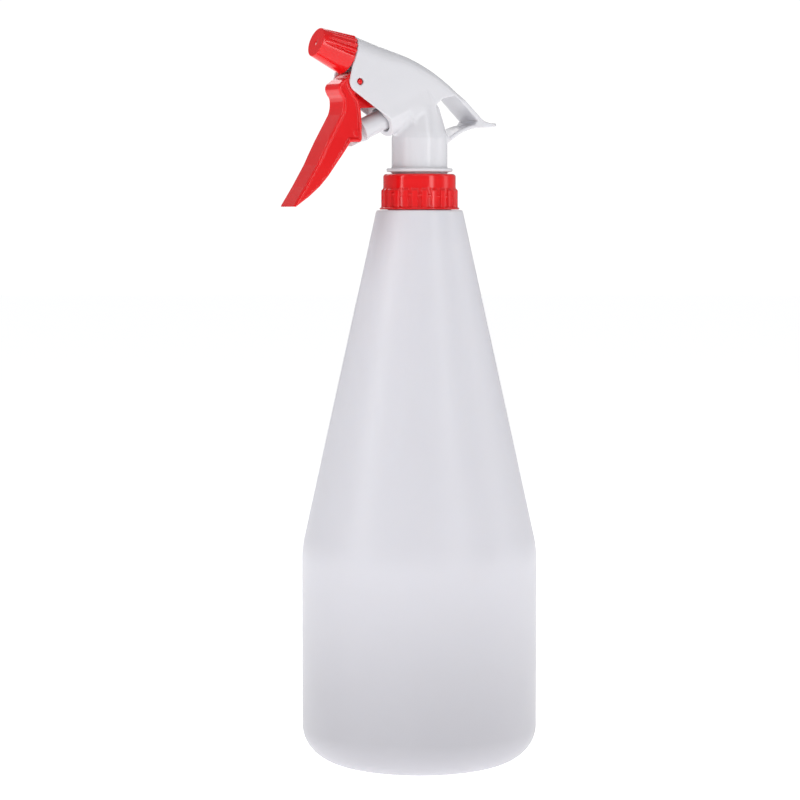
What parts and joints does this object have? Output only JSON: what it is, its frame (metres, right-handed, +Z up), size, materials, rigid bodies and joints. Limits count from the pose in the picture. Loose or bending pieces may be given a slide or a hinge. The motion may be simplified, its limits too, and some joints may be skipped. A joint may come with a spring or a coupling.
{
  "type": "hand mister",
  "caption": "Trigger spray bottle: tall conical bottle with a screw-on pump head, hinged trigger, piston pump, dip tube and twist nozzle.",
  "frame": {"origin": "centre of the bottle's flat base, on the bottle's axis", "axes": "+Z up along the bottle's axis; the nozzle and trigger point along -X; the X-Z plane is the plane of symmetry"},
  "size_m": [0.1065, 0.094, 0.2911],
  "materials": {
    "bottle_hdpe": "satin translucent blow-moulded polyethylene",
    "red_gloss": "glossy moulded polypropylene",
    "white_gloss": "glossy moulded polypropylene",
    "grey_gloss": "glossy moulded polyethylene",
    "tube_ldpe": "satin extruded polyethylene",
    "seal_elastomer": "soft foamed polyethylene",
    "seal_black": "satin",
    "spring_steel": "drawn stainless wire",
    "valve_steel": "ground ball"
  },
  "bodies": {
    "bottle": {"bottle": "bottle_hdpe"},
    "head": {"housing": "white_gloss", "tube_adapter": "white_gloss", "neck_gasket": "seal_elastomer", "dip_tube": "tube_ldpe", "tube_strainer": "white_gloss", "return_spring": "spring_steel", "valve_spring": "spring_steel", "swirl_core": "white_gloss"},
    "collar": {"collar": "red_gloss"},
    "inlet_ball": {"inlet_ball": "valve_steel"},
    "trigger": {"trigger": "red_gloss"},
    "piston": {"piston": "grey_gloss", "piston_seal_front": "seal_black", "piston_seal_rear": "seal_black"},
    "outlet_valve": {"outlet_valve": "seal_elastomer"},
    "nozzle_seal": {"nozzle_seal": "seal_elastomer"},
    "nozzle_cap": {"nozzle_cap": "red_gloss"}
  },
  "joints": [
    {"name": "head_rise", "type": "slide", "parent": "bottle", "child": "head", "axis": [0, 0, 1], "range_m": [0, 0.00528]},
    {"name": "collar_turn", "type": "hinge", "parent": "head", "child": "collar", "pos_m": [0, 0, 0.2208], "axis": [0, 0, 1], "range_deg": [0, 450]},
    {"name": "inlet_lift", "type": "slide", "parent": "head", "child": "inlet_ball", "axis": [0, 0, 1], "range_m": [0, 0.0008]},
    {"name": "trigger_pull", "type": "hinge", "parent": "head", "child": "trigger", "pos_m": [-0.0309, 0, 0.2706], "axis": [0, -1, 0], "range_deg": [0, 25], "stiffness_Nm_per_rad": 0.28, "springref_deg": -20.05},
    {"name": "piston_slide", "type": "slide", "parent": "head", "child": "piston", "axis": [0.91, 0, 0.4147], "range_m": [0, 0.0086], "deforming": ["return_spring"]},
    {"name": "outlet_lift", "type": "slide", "parent": "head", "child": "outlet_valve", "axis": [-0.9483, 0, 0.3173], "range_m": [0, 0.0007], "stiffness_N_per_m": 120, "springref_m": -0.001, "deforming": ["valve_spring"]},
    {"name": "nozzle_advance", "type": "slide", "parent": "head", "child": "nozzle_seal", "axis": [-0.9483, 0, 0.3173], "range_m": [0, 0.00299]},
    {"name": "nozzle_turn", "type": "hinge", "parent": "nozzle_seal", "child": "nozzle_cap", "pos_m": [-0.0329, 0, 0.2812], "axis": [-0.9483, 0, 0.3173], "range_deg": [0, 450]}
  ],
  "couplings": [
    {"joint": "collar_turn", "follows": "head_rise", "rad_per_m": 1485.4},
    {"joint": "piston_slide", "follows": "trigger_pull", "m_per_rad": 0.019481},
    {"joint": "nozzle_turn", "follows": "nozzle_advance", "rad_per_m": 2618}
  ]
}
